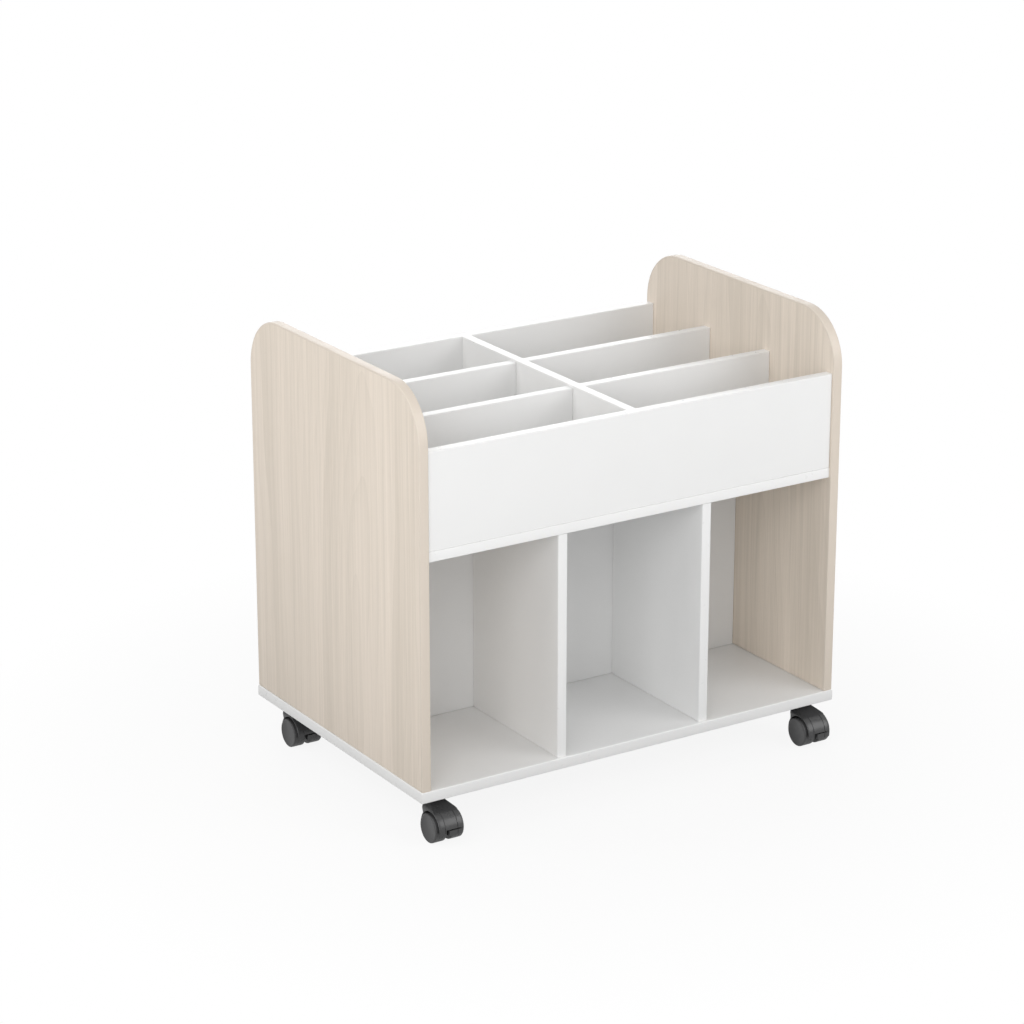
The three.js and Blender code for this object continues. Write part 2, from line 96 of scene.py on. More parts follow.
# End of a hood section without a rim, as (distance from the end, drop)
SQUARE_END = ((0, 0),)

# Digits that tell the rings of a turned steel piece apart
LEVEL_DIGITS = 5
RADIUS_DIGITS = 4

# Each finish: roughness from and to, and the strength and depth of its bump
FINISHES = {
    "Wood laminate": (0.42, 0.54, 0.25, 0.0003),
    "Wood edge band": (0.34, 0.46, 0.08, 0.0001),
    "White melamine": (0.36, 0.48, 0.12, 0.00012),
    "White edge band": (0.26, 0.36, 0.12, 0.00012),
    "Hood nylon": (0.25, 0.36, 0.2, 0.00015),
    "Wheel nylon": (0.4, 0.55, 0.2, 0.00015),
    "Zinc steel": (0.26, 0.44, 0.1, 0.00005),
    "Dowel beech": (0.6, 0.75, 0.2, 0.0002),
}

# Part of a noise's range that is used
NOISE_SPAN = (0.3, 0.7)

# Bands, streaks and fibres of the wood: stretch, detail, roughness, used range and share
FIGURE_LAYERS = (
    ((8.0, 1.0, 0.035), 2.0, 0.5, (0.3, 0.7), 0.24),
    ((40.0, 4.6, 0.05), 4.0, 0.6, (0.28, 0.72), 0.32),
    ((120.0, 26.0, 0.14), 4.0, 0.62, (0.32, 0.68), 0.3),
)
SWAY_STRETCH = (30.0, 1.0, 0.22)
PORE_STRETCH = (300.0, 60.0, 1.1)
PORE_SPAN = (0.62, 0.78)
PORE_SHARE = 0.45
PORE_SINK = -0.6
WOOD_SPAN = (0.12, 0.82)
BAND_SPAN = (0.15, 0.95)
BAND_SHARE = 0.45
BAND_GRAIN = 60.0

# Surface texture: output, the input that scales it, detail and roughness
SURFACE_LAYERS = (
    ("Height", "Grain", 3.0, 0.6),
    ("Gloss", "Gloss scale", 4.0, 0.65),
    ("Cloud", "Cloud scale", 3.0, 0.55),
)
CLOUD_SHADE = 0.985
NYLON_GRAIN = {"Hood nylon": 2600.0, "Wheel nylon": 1800.0}
SCUFF_SPAN = (0.52, 0.75)
SCUFF_SHARE = 0.35
SCUFF_SHADE = 1.5
SPANGLE_SCALE = 420.0
SPANGLE_SHARE = 0.5
SPANGLE_SHADE = 0.78
FLECK_STRETCH = (1.0, 8.0, 8.0)
FLECK_SCALE = 260.0
FLECK_DETAIL = 3.0
FLECK_SPAN = (0.4, 0.7)
FLECK_SHADE = 0.7

HIDDEN_FINISHES = {"_dowel": "Dowel beech", "_axle": "Zinc steel"}

# Soft lamps: place, side and power, all aimed at one point
SOFTBOXES = {
    "Key": ((-3.3, -3.5, 2.5), 3.4, 105.0),
    "Fill": ((2.8, -4.0, 2.8), 3.4, 100.0),
    "Left": ((-3.2, 0.4, 4.0), 3.4, 75.0),
    "Back": ((2.4, 4.4, 2.8), 3.4, 60.0),
}
AIM = (0.0, 0.0, 0.45)

# How far the camera sees: past the floor's far corners
CLIP_END = 200.0
WHITE = (1.0, 1.0, 1.0, 1.0)


def length(name, description, default):
    return FloatProperty(name=name, description=description, default=default, unit="LENGTH", precision=5)


def angle(name, description, default):
    return FloatProperty(name=name, description=description, default=math.radians(default), subtype="ANGLE")


def colour(name, description, default):
    return FloatVectorProperty(
        name=name, description=description, default=default, subtype="COLOR", min=0.0, max=1.0
    )


def number(name, description, default):
    return FloatProperty(name=name, description=description, default=default)


def count(name, description, default):
    return IntProperty(name=name, description=description, default=default, min=3)


class BoardSizes(bpy.types.PropertyGroup):
    corner_radius: length("Corner radius", "Round top corners of the end panels", 0.1)
    corner_steps: count("Corner steps", "Facets in a round corner", 40)
    end_arris: length("End arris", "Rounding of the end panels' edges", 0.0022)
    white_arris: length("White arris", "Rounding of the white boards' edges", 0.0012)
    base_arris: length("Base arris", "Rounding of the base panel's edges", 0.0018)
    arris_steps: count("Arris steps", "Facets in a rounded edge", 4)
    end_band: length("End band", "Edge band of the end panels, seen on their faces", 0.003)
    white_band: length("White band", "Edge band of the white boards, seen on their faces", 0.0024)
    seam_width: length("Seam width", "Hairline between a face and its edge band", 0.0003)
    seam_depth: length("Seam depth", "Depth of that hairline", 0.00015)
    halving_fit: length("Halving fit", "Gap each side of a board in a halving slot", 0.0003)


class BoardColours(bpy.types.PropertyGroup):
    wood_light: colour("Wood light", "Pale earlywood of the laminate", (0.86, 0.762, 0.66))
    wood_dark: colour("Wood dark", "Darker streaks of the laminate", (0.69, 0.611, 0.518))
    wood_pore: colour("Wood pore", "Fine pores of the laminate", (0.52, 0.43, 0.355))
    wood_band: colour("Wood band", "Edge band of the end panels", (0.7, 0.622, 0.538))
    white_face: colour("White face", "Melamine faces", (0.86, 0.86, 0.855))
    white_band: colour("White band", "Edge bands of the white boards", (0.885, 0.885, 0.88))
    dowel: colour("Dowel", "Beech of the dowels", (0.58, 0.39, 0.18))


class CasterSizes(bpy.types.PropertyGroup):
    wheel_gap: length("Wheel gap", "Between the tread and the hood", 0.004)
    hood_wall: length("Hood wall", "Thickness of the hood's shell", 0.002)
    rim_reach: length("Rim reach", "Width over which the hood rounds off to its rim", 0.007)
    rim_fall: length("Rim fall", "How far the hood falls to its rim", 0.0011)
    front_rise: length("Front rise", "Front edge of the hood above the axle", 0.004)
    skirt_width: length("Skirt width", "Left part of the hood, which reaches further down", 0.014)
    skirt_dip: length("Skirt dip", "Front edge of that part below the axle", 0.0035)
    saddle_top: length("Saddle top", "Width of the hood's ramp where it meets the boss", 0.016)
    saddle_slope: angle("Saddle slope", "Slope of that ramp", 21)
    saddle_back: angle("Saddle back", "Where the underside of the ramp leaves the shell", 40)
    saddle_round: length("Saddle round", "Rounding between the ramp and its shoulders", 0.003)
    groove_at: length("Groove place", "Grooves of the hood, from its middle", 0.0127)
    groove_width: length("Groove width", "Width of a groove", 0.0014)
    groove_depth: length("Groove depth", "Depth of that groove", 0.0008)
    web: length("Web", "Plate of the hood between the wheels", 0.006)
    web_drop: length("Web drop", "Web below the axle", 0.01)
    web_set_back: length("Web set back", "Web behind the hood, below the hood's front edge", 0.003)
    boss_radius: length("Boss radius", "Housing of the hood round the stem", 0.013)
    edge: length("Moulded edge", "Small rounding of moulded edges", 0.0005)
    lip: length("Cut lip", "Softening of the hood's and the pedal's ends", 0.0002)
    pedal_slot: length("Pedal slot", "Between the hood's front edge and the pedal", 0.0026)
    pedal_dip: length("Pedal dip", "Toe of the pedal below the axle", 0.0085)
    pedal_left: length("Pedal left", "Left end of the pedal beyond the middle", 0.0045)
    pedal_gap: length("Pedal gap", "Each side of the pedal's arm", 0.0005)
    pedal_hub: length("Pedal hub", "Radius of the pedal's arm round its pivot", 0.004)
    pedal_margin: angle("Pedal margin", "Pedal above and below its arm", 3)
    pin_radius: length("Pin radius", "Pivot pin of the pedal", 0.0013)
    pin_length: length("Pin length", "Pivot pin in the web", 0.0024)
    wheel_round: length("Wheel edge", "Rounding of the tread's outer edge", 0.002)
    wheel_rim: length("Wheel rim", "Rim round the wheel's face", 0.0022)
    wheel_dish: length("Wheel dish", "Depth of the wheel's face behind its rim", 0.00035)
    wheel_bore: length("Wheel bore", "Radius of the wheel's bore", 0.0033)
    wheel_face: length("Wheel face", "Closed face over the end of the axle", 0.004)
    turn_steps: count("Turn steps", "Facets of a turned piece", 72)
    stem_chamfer: length("Stem chamfer", "Chamfer of the steel pieces", 0.0006)


class CasterColours(bpy.types.PropertyGroup):
    hood: colour("Hood", "Moulded nylon of hood and pedal", (0.044, 0.044, 0.045))
    wheel: colour("Wheel", "Moulded nylon of the wheels", (0.046, 0.046, 0.047))
    steel: colour("Steel", "Zinc plate of the stems and screws", (0.55, 0.56, 0.58))


class ScrewSizes(bpy.types.PropertyGroup):
    head_radius: length("Head radius", "Countersunk head of a base screw", 0.005)
    shank_radius: length("Shank radius", "Shank of a base screw", 0.0035)
    head_height: length("Head height", "Taper of the head", 0.0016)
    socket_radius: length("Socket radius", "Hexagon socket, corner radius", 0.0024)
    socket_depth: length("Socket depth", "Depth of the hexagon socket", 0.0028)


class StageSettings(bpy.types.PropertyGroup):
    lens: number("Lens", "Focal length on a 36 mm sensor", 116.75)
    camera_turn: angle("Camera turn", "Camera direction, from straight ahead to the right", 32.447)
    camera_dip: angle("Camera dip", "Camera direction below the horizon", 19.081)
    camera_place: FloatVectorProperty(
        name="Camera place",
        description="Camera position",
        default=(-3.17403, -4.86511, 2.46327),
        unit="LENGTH",
    )
    floor_half: length("Floor", "Half the floor's side", 40.0)
    floor_white: number("Floor white", "Plain white in the floor near the bin", 0.89)
    floor_tone: number("Floor tone", "Grey of the lit floor, where it is seen", 0.75)
    shadow_near: length("Shadow near", "Radius in which the floor keeps the shadow whole", 0.5)
    shadow_far: length("Shadow far", "Radius at which the floor is plain white", 1.15)
    # Painted shade: the grey the floor throws back onto the bin is darker near the bin than further off. It
    # is a painted stand-in for the bin's shadow on the floor, and it darkens the bin's lower parts.
    bounce_near: number("Bounce near", "Grey that lights the bin from near it", 0.28)
    bounce_far: number("Bounce far", "Grey that lights the bin from further off", 0.95)
    bounce_start: length("Bounce start", "Radius at which the floor starts to light the bin more", 0.6)
    bounce_end: length("Bounce end", "Radius at which the floor lights the bin fully", 1.6)
    sky: number("Sky", "Strength of the even light all round", 0.33)


SETTINGS = {
    "bin_boards": BoardSizes,
    "bin_colours": BoardColours,
    "bin_casters": CasterSizes,
    "bin_caster_colours": CasterColours,
    "bin_screws": ScrewSizes,
    "bin_stage": StageSettings,
}


# Shapes


def inset(points, distance):
    """A closed outline, anticlockwise, with every side moved inwards."""
    moved = []
    for i, point in enumerate(points):
        before = (point - points[i - 1]).normalized()
        after = (points[(i + 1) % len(points)] - point).normalized()
        first = Vector((-before.y, before.x))
        second = Vector((-after.y, after.x))
        moved.append(point + (first + second) * distance / (1 + first.dot(second)))
    return moved


def arc(centre, radius, start, end, steps):
    """Points of an arc, both ends included."""
    angles = [start + (end - start) * i / steps for i in range(steps + 1)]
    return [Vector((centre[0] + radius * math.cos(a), centre[1] + radius * math.sin(a))) for a in angles]


def rectangle(low, high):
    corners = (low, (high[0], low[1]), high, (low[0], high[1]))
    return [Vector(corner) for corner in corners]


def quarter(steps):
    """A quarter round in even steps, as pairs of 1 - sine and 1 - cosine."""
    lifts = [math.pi / 2 * i / steps for i in range(steps + 1)]
    return [(1 - math.sin(lift), 1 - math.cos(lift)) for lift in lifts]


def shade_smooth(mesh, limit):
    """Shades a mesh smooth where its faces meet at less than an angle."""
    mesh.polygons.foreach_set("use_smooth", [True] * len(mesh.polygons))
    mesh.set_sharp_from_angle(angle=limit)


def mesh_piece(name, bm, finishes):
    """A new object from a finished bmesh, shaded smooth."""
    bmesh.ops.recalc_face_normals(bm, faces=bm.faces)
    mesh = bpy.data.meshes.new(name)
    bm.to_mesh(mesh)
    bm.free()
    for finish in finishes:
        mesh.materials.append(finish_of(finish))
    shade_smooth(mesh, SMOOTH_BELOW)
    piece = bpy.data.objects.new(name, mesh)
    bpy.context.scene.collection.objects.link(piece)
    return piece


def lofted_piece(name, loops, finishes):
    """Closed loops with equal counts of points, joined by strips in the last finish, and two ends."""
    bm = bmesh.new()
    rows = [[bm.verts.new(point) for point in loop] for loop in loops]
    for low, high in zip(rows, rows[1:]):
        for i in range(len(low)):
            j = (i + 1) % len(low)
            bm.faces.new((low[i], low[j], high[j], high[i])).material_index = len(finishes) - 1
    for row in (rows[0], rows[-1]):
        bm.faces.new(row).material_index = FACE_SLOT
    return mesh_piece(name, bm, finishes)


def turned_piece(name, profile, place, steps, finish):
    """A profile of (radius, height) points, from pole to pole, turned about the axis that place gives."""
    bm = bmesh.new()
    rows = []
    for radius, height in profile:
        if radius == 0:
            rows.append([bm.verts.new(place(0, 0, height))])
            continue
        angles = [math.tau * i / steps for i in range(steps)]
        ring = [place(radius * math.cos(a), radius * math.sin(a), height) for a in angles]
        rows.append([bm.verts.new(point) for point in ring])
    for low, high in zip(rows, rows[1:]):
        for i in range(steps):
            j = (i + 1) % steps
            corners = [low[i % len(low)], low[j % len(low)], high[j % len(high)], high[i % len(high)]]
            bm.faces.new(list(dict.fromkeys(corners)))
    return mesh_piece(name, bm, (finish,))


def applied(piece):
    """The piece's mesh with its modifiers applied, as a new plain mesh."""
    depsgraph = bpy.context.evaluated_depsgraph_get()
    mesh = bpy.data.meshes.new_from_object(piece.evaluated_get(depsgraph))
    piece.modifiers.clear()
    return mesh


def combine(piece, tool, operation):
    """Joins or cuts a piece with a tool, which is used up."""
    modifier = piece.modifiers.new("Combine", "BOOLEAN")
    modifier.operation = operation
    modifier.solver = "EXACT"
    modifier.object = tool
    old = piece.data
    piece.data = applied(piece)
    bpy.data.meshes.remove(old)
    bpy.data.objects.remove(tool)


def set_piece(piece, body, slot, *nodes):
    """The piece moves with a body and stands for CAD nodes, which it hides. The slot is not used."""
    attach(piece, body)
    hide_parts(*nodes)


def plate(name, axis, outline, span, arris, band, finishes):
    """A board with rounded edges and a hairline between its faces and its edge band."""
    sizes = bpy.context.scene.bin_boards
    first, second, third = PLANES[axis]
    low, high = span
    profile = [
        (band + sizes.seam_width, 0.0),
        (band + sizes.seam_width / 2, sizes.seam_depth),
        (band, 0.0),
    ]
    profile += [(arris * side, arris * depth) for side, depth in quarter(sizes.arris_steps)]
    levels = [(side, low + depth) for side, depth in profile]
    levels += [(side, high - depth) for side, depth in reversed(profile)]
    loops = []
    for side, level in levels:
        loop = []
        for point in inset(outline, side):
            place = Vector()
            place[first], place[second], place[third] = point.x, point.y, level
            loop.append(place)
        loops.append(loop)
    return lofted_piece(name, loops, finishes)


def flat_box(node, axis):
    """A node's box as the corners of its outline in a plane, and its span across it."""
    low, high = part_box(node)
    first, second, third = PLANES[axis]
    return (low[first], low[second]), (high[first], high[second]), (low[third], high[third])


# Finishes


def add_node(tree, kind, inputs=None, **settings):
    """A node with its settings, and each input set to a value or linked to a socket."""
    node = tree.nodes.new(kind)
    for name, value in settings.items():
        setattr(node, name, value)
    for key, value in (inputs or {}).items():
        if isinstance(value, bpy.types.NodeSocket):
            tree.links.new(value, node.inputs[key])
        else:
            node.inputs[key].default_value = value
    return node


def scaled(tree, vector, scale):
    return add_node(tree, "ShaderNodeVectorMath", {0: vector, 1: scale}, operation="MULTIPLY").outputs[0]


def noise(tree, vector, scale, detail=2.0, roughness=0.5):
    inputs = {"Vector": vector, "Scale": scale, "Detail": detail, "Roughness": roughness}
    return add_node(tree, "ShaderNodeTexNoise", inputs).outputs[0]


def math_node(tree, operation, first, second=0.0, third=0.0):
    return add_node(tree, "ShaderNodeMath", {0: first, 1: second, 2: third}, operation=operation).outputs[0]


def remap(tree, value, from_low, from_high, to_low=0.0, to_high=1.0):
    inputs = {0: value, 1: from_low, 2: from_high, 3: to_low, 4: to_high}
    return add_node(tree, "ShaderNodeMapRange", inputs).outputs[0]


def mix_colour(tree, factor, first, second):
    return add_node(tree, "ShaderNodeMix", {0: factor, 6: first, 7: second}, data_type="RGBA").outputs[2]


def rgba(value, share=1.0):
    return (value[0] * share, value[1] * share, value[2] * share, 1.0)


def node_group(name, values, outputs):
    """A shader group with a vector, named values and named outputs, and the sockets at its ends."""
    group = bpy.data.node_groups.new(name, "ShaderNodeTree")
    sockets = group.interface
    sockets.new_socket("Vector", in_out="INPUT", socket_type="NodeSocketVector")
    for value, default in values.items():
        sockets.new_socket(value, in_out="INPUT", socket_type="NodeSocketFloat").default_value = default
    for output in outputs:
        sockets.new_socket(output, in_out="OUTPUT", socket_type="NodeSocketFloat")
    start = group.nodes.new("NodeGroupInput")
    end = group.nodes.new("NodeGroupOutput")
    return group, start.outputs, end.inputs


def figure_group():
    """Wood figure along Z: bands, streaks, fibres, strips, arched growth lines and short pores."""
    values = {
        "Band scale": 24.0,
        "Sway scale": 5.0,
        "Sway": 0.16,
        "Arch height": 0.25,
        "Arch stretch": 0.11,
        "Line spacing": 0.021,
        "Line edge": 3.0,
        "Line share": 0.14,
        "Strip width": 0.23,
        "Strip start": 0.54,
        "Strip edge": 1.6,
        "Strip share": 0.24,
    }
    group, start, end = node_group("Wood figure", values, ("Streak", "Pore"))
    vector = start["Vector"]
    total = 0.0
    for stretch, detail, roughness, span, share in FIGURE_LAYERS:
        layer = noise(group, scaled(group, vector, stretch), start["Band scale"], detail, roughness)
        total = math_node(group, "MULTIPLY_ADD", remap(group, layer, *span), share, total)
    sway = noise(group, scaled(group, vector, SWAY_STRETCH), start["Sway scale"])
    parts = add_node(group, "ShaderNodeSeparateXYZ", {0: vector}).outputs
    across = math_node(group, "MULTIPLY_ADD", sway, start["Sway"], parts[1])
    along = math_node(group, "SUBTRACT", parts[2], start["Arch height"])
    along = math_node(group, "MULTIPLY", along, start["Arch stretch"])
    squares = math_node(group, "MULTIPLY_ADD", across, across, math_node(group, "MULTIPLY", along, along))
    turns = math_node(group, "DIVIDE", math_node(group, "SQRT", squares), start["Line spacing"])
    lines = math_node(group, "POWER", math_node(group, "FRACT", turns), start["Line edge"])
    strips = math_node(group, "DIVIDE", across, start["Strip width"])
    strips = math_node(group, "FRACT", math_node(group, "SUBTRACT", start["Strip start"], strips))
    fade = math_node(group, "POWER", math_node(group, "SUBTRACT", 1.0, strips), start["Strip edge"])
    total = math_node(group, "MULTIPLY_ADD", fade, start["Strip share"], total)
    total = math_node(group, "MULTIPLY_ADD", lines, start["Line share"], total)
    group.links.new(total, end["Streak"])
    pores = noise(group, scaled(group, vector, PORE_STRETCH), start["Band scale"])
    group.links.new(remap(group, pores, *PORE_SPAN), end["Pore"])
    return group


def surface_group():
    """Fine moulded or pressed texture: a height, a slow change of gloss and a faint cloud."""
    values = {"Grain": 1500.0, "Gloss scale": 38.0, "Cloud scale": 7.0}
    outputs = [layer[0] for layer in SURFACE_LAYERS]
    group, start, end = node_group("Surface texture", values, outputs)
    for output, scale, detail, roughness in SURFACE_LAYERS:
        group.links.new(noise(group, start["Vector"], start[scale], detail, roughness), end[output])
    return group


class Finish:
    """A new material with its shader, object coordinates, surface texture and roughness."""

    def __init__(self, name):
        low, high, self.strength, self.depth = FINISHES[name]
        self.material = bpy.data.materials.new(name)
        self.material.use_nodes = True
        self.tree = self.material.node_tree
        self.shader = self.tree.nodes["Principled BSDF"].inputs
        self.vector = add_node(self.tree, "ShaderNodeTexCoord").outputs["Object"]
        self.texture = self.add_group("Surface texture", surface_group)
        gloss = remap(self.tree, self.texture.outputs["Gloss"], *NOISE_SPAN, low, high)
        self.tree.links.new(gloss, self.shader["Roughness"])

    def add_group(self, name, make):
        """A shared group on the object coordinates, made when it is first asked for."""
        group = bpy.data.node_groups.get(name) or make()
        return add_node(self.tree, "ShaderNodeGroup", {"Vector": self.vector}, node_tree=group)

    def finished(self, tone, height):
        """The material, with its colour and its bump."""
        inputs = {"Strength": self.strength, "Distance": self.depth, "Height": height}
        bump = add_node(self.tree, "ShaderNodeBump", inputs)
        self.tree.links.new(tone, self.shader["Base Color"])
        self.tree.links.new(bump.outputs[0], self.shader["Normal"])
        return self.material


def wood_laminate(finish, colours):
    """Wood-grain laminate, grain upright."""
    tree = finish.tree
    figure = finish.add_group("Wood figure", figure_group).outputs
    streak = remap(tree, figure["Streak"], *WOOD_SPAN)
    tone = mix_colour(tree, streak, rgba(colours.wood_light), rgba(colours.wood_dark))
    pore = math_node(tree, "MULTIPLY", figure["Pore"], PORE_SHARE)
    tone = mix_colour(tree, pore, tone, rgba(colours.wood_pore))
    height = math_node(tree, "MULTIPLY_ADD", figure["Pore"], PORE_SINK, figure["Streak"])
    return finish.finished(tone, height)


def wood_edge_band(finish, colours):
    """Edge band of the end panels: the laminate's tone with a faint grain."""
    tree = finish.tree
    figure = finish.add_group("Wood figure", figure_group)
    figure.inputs["Band scale"].default_value = BAND_GRAIN
    streak = remap(tree, figure.outputs["Streak"], *BAND_SPAN, 0.0, BAND_SHARE)
    tone = mix_colour(tree, streak, rgba(colours.wood_band), rgba(colours.wood_dark))
    return finish.finished(tone, finish.texture.outputs["Height"])


def white_board(finish, value):
    """White melamine or its edge band: a pressed pearl texture and a very faint cloud."""
    cloud = remap(finish.tree, finish.texture.outputs["Cloud"], *NOISE_SPAN)
    tone = mix_colour(finish.tree, cloud, rgba(value), rgba(value, CLOUD_SHADE))
    return finish.finished(tone, finish.texture.outputs["Height"])


def moulded_nylon(finish, value):
    """Moulded nylon with a spark-eroded texture and slight scuffing."""
    texture = finish.texture
    texture.inputs["Grain"].default_value = NYLON_GRAIN[finish.material.name]
    scuff = remap(finish.tree, texture.outputs["Gloss"], *SCUFF_SPAN, 0.0, SCUFF_SHARE)
    tone = mix_colour(finish.tree, scuff, rgba(value), rgba(value, SCUFF_SHADE))
    return finish.finished(tone, texture.outputs["Height"])


def zinc_steel(finish, value):
    """Zinc-plated steel with a faint spangle."""
    tree = finish.tree
    spangle = add_node(tree, "ShaderNodeTexVoronoi", {"Vector": finish.vector, "Scale": SPANGLE_SCALE})
    cells = add_node(tree, "ShaderNodeSeparateColor", {0: spangle.outputs["Color"]}).outputs[0]
    shade = math_node(tree, "MULTIPLY", cells, SPANGLE_SHARE)
    tone = mix_colour(tree, shade, rgba(value), rgba(value, SPANGLE_SHADE))
    finish.shader["Metallic"].default_value = 1.0
    return finish.finished(tone, finish.texture.outputs["Height"])


def dowel_beech(finish, value):
    """Plain beech with short flecks."""
    tree = finish.tree
    flecks = noise(tree, scaled(tree, finish.vector, FLECK_STRETCH), FLECK_SCALE, FLECK_DETAIL)
    tone = mix_colour(tree, remap(tree, flecks, *FLECK_SPAN), rgba(value), rgba(value, FLECK_SHADE))
    return finish.finished(tone, flecks)


def finish_of(name):
    """A finish by name, made when it is first asked for."""
    boards = bpy.context.scene.bin_colours
    casters = bpy.context.scene.bin_caster_colours
    makers = {
        "Wood laminate": (wood_laminate, boards),
        "Wood edge band": (wood_edge_band, boards),
        "White melamine": (white_board, boards.white_face),
        "White edge band": (white_board, boards.white_band),
        "Hood nylon": (moulded_nylon, casters.hood),
        "Wheel nylon": (moulded_nylon, casters.wheel),
        "Zinc steel": (zinc_steel, casters.steel),
        "Dowel beech": (dowel_beech, boards.dowel),
    }
    make, value = makers[name]
    return bpy.data.materials.get(name) or make(Finish(name), value)


# Pieces


class BIN_OT_end_panels(bpy.types.Operator):
    """Make the two round-cornered end panels with their edge bands"""

    bl_idname = "browser_bin.end_panels"
    bl_label = "End panels"

    def execute(self, context):
        sizes = context.scene.bin_boards
        for side in ENDS:
            low, high, span = flat_box(f"{side}_end_edge_band", "X")
            radius, steps = sizes.corner_radius, sizes.corner_steps
            outline = [Vector(low), Vector((high[0], low[1]))]
            outline += arc((high[0] - radius, high[1] - radius), radius, 0, math.pi / 2, steps)
            outline += arc((low[0] + radius, high[1] - radius), radius, math.pi / 2, math.pi, steps)
            name = f"{side}_end"
            piece = plate(name, "X", outline, span, sizes.end_arris, sizes.end_band, WOOD_SLOTS)
            foot = low[1] + sizes.end_band
            for polygon in piece.data.polygons:
                if polygon.center.z < foot:
                    polygon.material_index = FACE_SLOT
            set_piece(piece, "cabinet", "wood_laminate", f"{side}_end_panel", f"{side}_end_edge_band")
        return {"FINISHED"}


class BIN_OT_white_boards(bpy.types.Operator):
    """Make the base, shelf, bin boards, spine and cubby dividers"""

    bl_idname = "browser_bin.white_boards"
    bl_label = "White boards"

    def execute(self, context):
        sizes = context.scene.bin_boards
        for node, axis in WHITE_PLATES.items():
            low, high, span = flat_box(node, axis)
            arris = sizes.base_arris if node == "base_panel" else sizes.white_arris
            outline = rectangle(low, high)
            piece = plate(f"{node}_board", axis, outline, span, arris, sizes.white_band, WHITE_SLOTS)
            set_piece(piece, "cabinet", "white_melamine", node)
        return {"FINISHED"}


def halving(span, fit, edge, depth):
    """The points of a halving slot for a board, from its high side to its low side, cut in from an edge."""
    low, high = span[0] - fit, span[1] + fit
    return [Vector(point) for point in ((high, edge), (high, depth), (low, depth), (low, edge))]


class BIN_OT_bin_dividers(bpy.types.Operator):
    """Make the row dividers and the cross divider, halved into each other"""

    bl_idname = "browser_bin.bin_dividers"
    bl_label = "Bin dividers"

    def execute(self, context):
        sizes = context.scene.bin_boards
        edges = (sizes.white_arris, sizes.white_band, WHITE_SLOTS)
        fit = sizes.halving_fit
        low, high, cross_span = flat_box("cross_divider", "X")
        half_way = (low[1] + high[1]) / 2
        cross = [Vector(low)]
        for node in ROW_DIVIDERS:
            row_low, row_high, row_span = flat_box(node, "Y")
            cross += reversed(halving(row_span, fit, low[1], half_way))
            row = [Vector(row_low), Vector((row_high[0], row_low[1])), Vector(row_high)]
            row += halving(cross_span, fit, row_high[1], half_way)
            row.append(Vector((row_low[0], row_high[1])))
            piece = plate(f"{node}_board", "Y", row, row_span, *edges)
            set_piece(piece, "cabinet", "white_melamine", node)
        cross += [Vector((high[0], low[1])), Vector(high), Vector((low[0], high[1]))]
        piece = plate("cross_divider_board", "X", cross, cross_span, *edges)
        set_piece(piece, "cabinet", "white_melamine", "cross_divider")
        return {"FINISHED"}


class CasterPlace:
    """Where one caster's parts are, read from the frame."""

    def __init__(self, corner):
        self.sizes = bpy.context.scene.bin_casters
        self.nodes = {part: f"{corner}_caster_{part}" for part in CASTER_PARTS}
        low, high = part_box(self.nodes["right_wheel"])
        self.wheel_radius = (high.z - low.z) / 2
        self.axle = Vector((0, (low.y + high.y) / 2, (low.z + high.z) / 2))
        hood_low, hood_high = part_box(self.nodes["hood"])
        self.axle.x = (hood_low.x + hood_high.x) / 2
        self.wheel_start = low.x - self.axle.x
        self.hood_half = (hood_high.x - hood_low.x) / 2
        self.hood_top = hood_high.z
        self.hood_foot = hood_low.z
        self.inner = self.wheel_radius + self.sizes.wheel_gap
        self.outer = self.inner + self.sizes.hood_wall
        self.middle = (self.inner + self.outer) / 2
        stem_low, stem_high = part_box(self.nodes["stem"])
        self.stem = (stem_low + stem_high) / 2
        joints = frame["record"]["behaviour"]["joints"]
        press = next(joint for joint in joints if joint["name"] == f"{corner}_brake_press")
        self.pivot = Vector(press["pos_m"]) - self.axle

    def along_axle(self, across, up, along):
        """A point turned about the axle."""
        return Vector((self.axle.x + along, self.axle.y + across, self.axle.z + up))

    def along_pivot(self, across, up, along):
        """A point turned about the pedal's pivot."""
        return self.along_axle(self.pivot.y + across, self.pivot.z + up, along)

    def along_stem(self, across, up, along):
        """A point turned about the stem, with its height from the floor."""
        return Vector((self.stem.x + across, self.stem.y + up, along))

    def front_angle(self, rise):
        """The angle of a front edge, from its height above the axle."""
        return math.pi - math.asin(rise / self.outer)


def rim_profile(sizes):
    """The round fall of the hood to its rim, as (distance from the rim, drop), from the rim inwards."""
    return [(sizes.rim_reach * along, sizes.rim_fall * drop) for drop, along in quarter(ROUND_STEPS)]


def groove_profile(sizes):
    """A groove across the hood, as (distance from its middle, drop)."""
    width, depth = sizes.groove_width, sizes.groove_depth
    return [(width / 2, 0), (width / 4, depth), (-width / 4, depth), (-width / 2, 0)]


def shell_section(place, from_x, to_x, left_end, grooves):
    """Cross-section of the hood's shell as (x, radius) points, anticlockwise, with grooves right to left."""
    outer = place.outer
    points = [Vector((from_x, place.inner)), Vector((to_x, place.inner))]
    points += [Vector((to_x - side, outer - drop)) for side, drop in rim_profile(place.sizes)]
    for at in grooves:
        points += [Vector((at + side, outer - drop)) for side, drop in groove_profile(place.sizes)]
    return points + [Vector((from_x + side, outer - drop)) for side, drop in reversed(left_end)]


def swept_piece(name, place, section, start, end):
    """A section swept about the axle, with softly rounded ends."""
    lip = place.sizes.lip
    slip = lip / place.outer
    steps = round((end - start) / SWEEP_STEP)
    stations = [(start, inset(section, lip))]
    for i in range(steps + 1):
        stations.append((start + slip + (end - start - 2 * slip) * i / steps, section))
    stations.append((end, inset(section, lip)))
    loops = []
    for turned, points in stations:
        y, z = math.cos(turned), math.sin(turned)
        loops.append([place.along_axle(point.y * y, point.y * z, point.x) for point in points])
    return lofted_piece(name, loops, HOOD_SLOTS)


